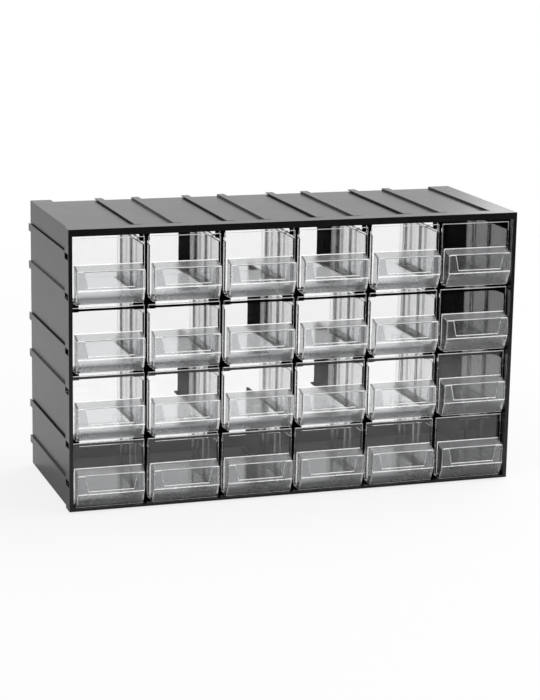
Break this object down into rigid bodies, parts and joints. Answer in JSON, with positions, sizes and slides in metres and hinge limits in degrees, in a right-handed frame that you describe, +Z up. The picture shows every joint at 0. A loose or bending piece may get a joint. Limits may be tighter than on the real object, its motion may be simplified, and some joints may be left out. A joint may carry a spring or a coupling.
{
  "type": "parts bin cabinet",
  "caption": "Open-backed dark moulded casing with interlock rails, holding a grid of clear pull-out drawers with label holders.",
  "frame": {"origin": "centre of the footprint on the resting plane", "axes": "+Z up, -Y towards the drawer fronts, +Y towards the open back, +X to the right seen from the front"},
  "size_m": [0.3838, 0.1516, 0.2309],
  "materials": {
    "casing": "black moulded plastic with a satin sheen",
    "grid": "black moulded plastic, satin",
    "drawer": "clear crystal plastic, glossy"
  },
  "bodies": {
    "cabinet": {"casing": "casing", "header": "grid", "guide_left": "grid", "guide_right": "grid", "bar_1": "grid", "bar_2": "grid", "bar_3": "grid", "bar_4": "grid", "partition_1": "grid", "partition_2": "grid", "partition_3": "grid", "partition_4": "grid", "partition_5": "grid"},
    "drawer_r1c1": {"drawer_r1c1": "drawer"},
    "drawer_r1c2": {"drawer_r1c2": "drawer"},
    "drawer_r1c3": {"drawer_r1c3": "drawer"},
    "drawer_r1c4": {"drawer_r1c4": "drawer"},
    "drawer_r1c5": {"drawer_r1c5": "drawer"},
    "drawer_r1c6": {"drawer_r1c6": "drawer"},
    "drawer_r2c1": {"drawer_r2c1": "drawer"},
    "drawer_r2c2": {"drawer_r2c2": "drawer"},
    "drawer_r2c3": {"drawer_r2c3": "drawer"},
    "drawer_r2c4": {"drawer_r2c4": "drawer"},
    "drawer_r2c5": {"drawer_r2c5": "drawer"},
    "drawer_r2c6": {"drawer_r2c6": "drawer"},
    "drawer_r3c1": {"drawer_r3c1": "drawer"},
    "drawer_r3c2": {"drawer_r3c2": "drawer"},
    "drawer_r3c3": {"drawer_r3c3": "drawer"},
    "drawer_r3c4": {"drawer_r3c4": "drawer"},
    "drawer_r3c5": {"drawer_r3c5": "drawer"},
    "drawer_r3c6": {"drawer_r3c6": "drawer"},
    "drawer_r4c1": {"drawer_r4c1": "drawer"},
    "drawer_r4c2": {"drawer_r4c2": "drawer"},
    "drawer_r4c3": {"drawer_r4c3": "drawer"},
    "drawer_r4c4": {"drawer_r4c4": "drawer"},
    "drawer_r4c5": {"drawer_r4c5": "drawer"},
    "drawer_r4c6": {"drawer_r4c6": "drawer"}
  },
  "joints": [
    {"name": "slide_r1c1", "type": "slide", "parent": "cabinet", "child": "drawer_r1c1", "axis": [0, -1, 0], "range_m": [0, 0.075]},
    {"name": "slide_r1c2", "type": "slide", "parent": "cabinet", "child": "drawer_r1c2", "axis": [0, -1, 0], "range_m": [0, 0.075]},
    {"name": "slide_r1c3", "type": "slide", "parent": "cabinet", "child": "drawer_r1c3", "axis": [0, -1, 0], "range_m": [0, 0.075]},
    {"name": "slide_r1c4", "type": "slide", "parent": "cabinet", "child": "drawer_r1c4", "axis": [0, -1, 0], "range_m": [0, 0.075]},
    {"name": "slide_r1c5", "type": "slide", "parent": "cabinet", "child": "drawer_r1c5", "axis": [0, -1, 0], "range_m": [0, 0.075]},
    {"name": "slide_r1c6", "type": "slide", "parent": "cabinet", "child": "drawer_r1c6", "axis": [0, -1, 0], "range_m": [0, 0.075]},
    {"name": "slide_r2c1", "type": "slide", "parent": "cabinet", "child": "drawer_r2c1", "axis": [0, -1, 0], "range_m": [0, 0.075]},
    {"name": "slide_r2c2", "type": "slide", "parent": "cabinet", "child": "drawer_r2c2", "axis": [0, -1, 0], "range_m": [0, 0.075]},
    {"name": "slide_r2c3", "type": "slide", "parent": "cabinet", "child": "drawer_r2c3", "axis": [0, -1, 0], "range_m": [0, 0.075]},
    {"name": "slide_r2c4", "type": "slide", "parent": "cabinet", "child": "drawer_r2c4", "axis": [0, -1, 0], "range_m": [0, 0.075]},
    {"name": "slide_r2c5", "type": "slide", "parent": "cabinet", "child": "drawer_r2c5", "axis": [0, -1, 0], "range_m": [0, 0.075]},
    {"name": "slide_r2c6", "type": "slide", "parent": "cabinet", "child": "drawer_r2c6", "axis": [0, -1, 0], "range_m": [0, 0.075]},
    {"name": "slide_r3c1", "type": "slide", "parent": "cabinet", "child": "drawer_r3c1", "axis": [0, -1, 0], "range_m": [0, 0.075]},
    {"name": "slide_r3c2", "type": "slide", "parent": "cabinet", "child": "drawer_r3c2", "axis": [0, -1, 0], "range_m": [0, 0.075]},
    {"name": "slide_r3c3", "type": "slide", "parent": "cabinet", "child": "drawer_r3c3", "axis": [0, -1, 0], "range_m": [0, 0.075]},
    {"name": "slide_r3c4", "type": "slide", "parent": "cabinet", "child": "drawer_r3c4", "axis": [0, -1, 0], "range_m": [0, 0.075]},
    {"name": "slide_r3c5", "type": "slide", "parent": "cabinet", "child": "drawer_r3c5", "axis": [0, -1, 0], "range_m": [0, 0.075]},
    {"name": "slide_r3c6", "type": "slide", "parent": "cabinet", "child": "drawer_r3c6", "axis": [0, -1, 0], "range_m": [0, 0.075]},
    {"name": "slide_r4c1", "type": "slide", "parent": "cabinet", "child": "drawer_r4c1", "axis": [0, -1, 0], "range_m": [0, 0.075]},
    {"name": "slide_r4c2", "type": "slide", "parent": "cabinet", "child": "drawer_r4c2", "axis": [0, -1, 0], "range_m": [0, 0.075]},
    {"name": "slide_r4c3", "type": "slide", "parent": "cabinet", "child": "drawer_r4c3", "axis": [0, -1, 0], "range_m": [0, 0.075]},
    {"name": "slide_r4c4", "type": "slide", "parent": "cabinet", "child": "drawer_r4c4", "axis": [0, -1, 0], "range_m": [0, 0.075]},
    {"name": "slide_r4c5", "type": "slide", "parent": "cabinet", "child": "drawer_r4c5", "axis": [0, -1, 0], "range_m": [0, 0.075]},
    {"name": "slide_r4c6", "type": "slide", "parent": "cabinet", "child": "drawer_r4c6", "axis": [0, -1, 0], "range_m": [0, 0.075]}
  ]
}
